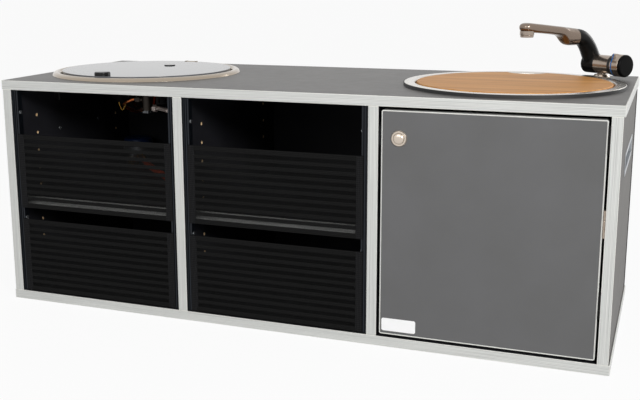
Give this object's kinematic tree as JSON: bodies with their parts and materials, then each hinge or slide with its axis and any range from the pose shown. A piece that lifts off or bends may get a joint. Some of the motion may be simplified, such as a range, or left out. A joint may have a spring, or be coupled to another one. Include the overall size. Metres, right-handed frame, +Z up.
{
  "type": "camper kitchen module",
  "caption": "Low camper kitchen cabinet with a round glass-lidded gas hob, round sink under a wooden board, folding tap, open bays with elastic nets and a locking door",
  "frame": {"origin": "middle of the flat underside of the base board", "axes": "+X to the right along the length, +Y from the front to the back, +Z up"},
  "size_m": [1.03, 0.4055, 0.4908],
  "materials": {
    "slate_board": "matte melamine-faced board",
    "silver_edging": "brushed silver edging",
    "bright_steel": "zinc plated",
    "rail_black": "black anodised",
    "elastic_black": "woven elastic",
    "silver_plastic": "silver lacquer",
    "bowl_steel": "satin stainless",
    "burner_alloy": "cast",
    "black_enamel": "black enamel",
    "brass": "turned brass",
    "copper": "drawn copper",
    "pale_pipe": "pale coating",
    "zinc": "bright zinc",
    "black_plastic": "moulded",
    "smoked_glass": "toughened, smoked",
    "blue_cap": "moulded blue",
    "orange_hose": "matte",
    "seal_rubber": "matte",
    "board_wood": "oiled hardwood",
    "nickel_plastic": "satin nickel plated",
    "nickel_metal": "satin nickel",
    "label_white": "bare"
  },
  "bodies": {
    "cabinet": {"base_panel": "slate_board", "worktop_panel": "slate_board", "left_side_panel": "slate_board", "right_side_panel": "slate_board", "left_divider": "slate_board", "right_divider": "slate_board", "back_panel": "slate_board", "left_shelf": "slate_board", "middle_shelf": "slate_board", "worktop_edging": "silver_edging", "base_edging": "silver_edging", "inner_edging": "silver_edging", "shelf_pins": "bright_steel", "panel_screws": "bright_steel", "strike": "bright_steel", "net_rails": "rail_black", "left_upper_net": "elastic_black", "left_lower_net": "elastic_black", "middle_upper_net": "elastic_black", "middle_lower_net": "elastic_black", "left_grip": "silver_plastic", "right_grip": "silver_plastic", "hob_bowl": "bowl_steel", "sink_basin": "bowl_steel", "lid_hinge_ears": "bowl_steel", "burner_body": "burner_alloy", "regulator_body": "burner_alloy", "burner_cap": "black_enamel", "pan_support": "black_enamel", "gas_valve": "brass", "regulator_fittings": "brass", "gas_pipe": "copper", "inlet_pipe": "pale_pipe", "hob_clamps": "zinc", "sink_drain": "black_plastic", "regulator_cap": "blue_cap", "gas_hose": "orange_hose", "sink_gasket": "seal_rubber", "tap_foot": "nickel_metal", "frame_leaves": "nickel_metal"},
    "door": {"door_panel": "slate_board", "door_edging": "silver_edging", "door_leaves": "nickel_metal", "lock_body": "nickel_metal", "label_plate": "label_white"},
    "lock_button": {"lock_button": "nickel_metal"},
    "lock_bolt": {"lock_bolt": "bright_steel"},
    "lid": {"glass_lid": "smoked_glass", "lid_fittings": "black_plastic", "lid_arm": "bowl_steel"},
    "valve_spindle": {"valve_spindle": "bright_steel"},
    "hob_knob": {"hob_knob": "black_plastic"},
    "cutting_board": {"cutting_board": "board_wood"},
    "tap": {"tap_body": "nickel_plastic", "tap_seal": "black_plastic"},
    "tap_control": {"tap_control_ring": "nickel_plastic", "tap_end_knob": "black_plastic"},
    "spout": {"spout_elbow": "black_plastic", "spout_arm": "nickel_plastic", "aerator": "black_plastic"}
  },
  "joints": [
    {"name": "door_hinge", "type": "hinge", "parent": "cabinet", "child": "door", "pos_m": [0.49475, -0.2, 0.2], "axis": [0, 0, 1], "range_deg": [0, 110]},
    {"name": "lock_button_push", "type": "slide", "parent": "door", "child": "lock_button", "axis": [0, 1, 0], "range_m": [0, 0.0025], "stiffness_N_per_m": 300},
    {"name": "lock_bolt_slide", "type": "slide", "parent": "door", "child": "lock_bolt", "axis": [-1, 0, 0], "range_m": [0, 0.008]},
    {"name": "lid_hinge", "type": "hinge", "parent": "cabinet", "child": "lid", "pos_m": [-0.32675, 0.152, 0.3995], "axis": [-1, 0, 0], "range_deg": [0, 90]},
    {"name": "hob_valve_turn", "type": "hinge", "parent": "cabinet", "child": "valve_spindle", "pos_m": [-0.28425, -0.102, 0.36], "axis": [0, 0, 1], "range_deg": [0, 180]},
    {"name": "hob_knob_push", "type": "slide", "parent": "valve_spindle", "child": "hob_knob", "axis": [0, 0, -1], "range_m": [0, 0.0025], "stiffness_N_per_m": 400, "springref_m": -0.0005},
    {"name": "board_lift", "type": "slide", "parent": "cabinet", "child": "cutting_board", "axis": [0, 0, 1], "range_m": [0, 0.028]},
    {"name": "tap_swivel", "type": "hinge", "parent": "cabinet", "child": "tap", "pos_m": [0.4545, 0.16, 0.394], "axis": [0, 0, 1], "range_deg": [-30, 60]},
    {"name": "tap_control_turn", "type": "hinge", "parent": "tap", "child": "tap_control", "pos_m": [0.4545, 0.16, 0.4174], "axis": [0.809, -0.5878, 0], "range_deg": [0, 90]},
    {"name": "spout_fold", "type": "hinge", "parent": "tap", "child": "spout", "pos_m": [0.4545, 0.16, 0.4174], "axis": [0.809, -0.5878, 0], "range_deg": [0, 12]}
  ],
  "couplings": [
    {"joint": "lock_bolt_slide", "follows": "lock_button_push", "ratio": 3.2}
  ]
}
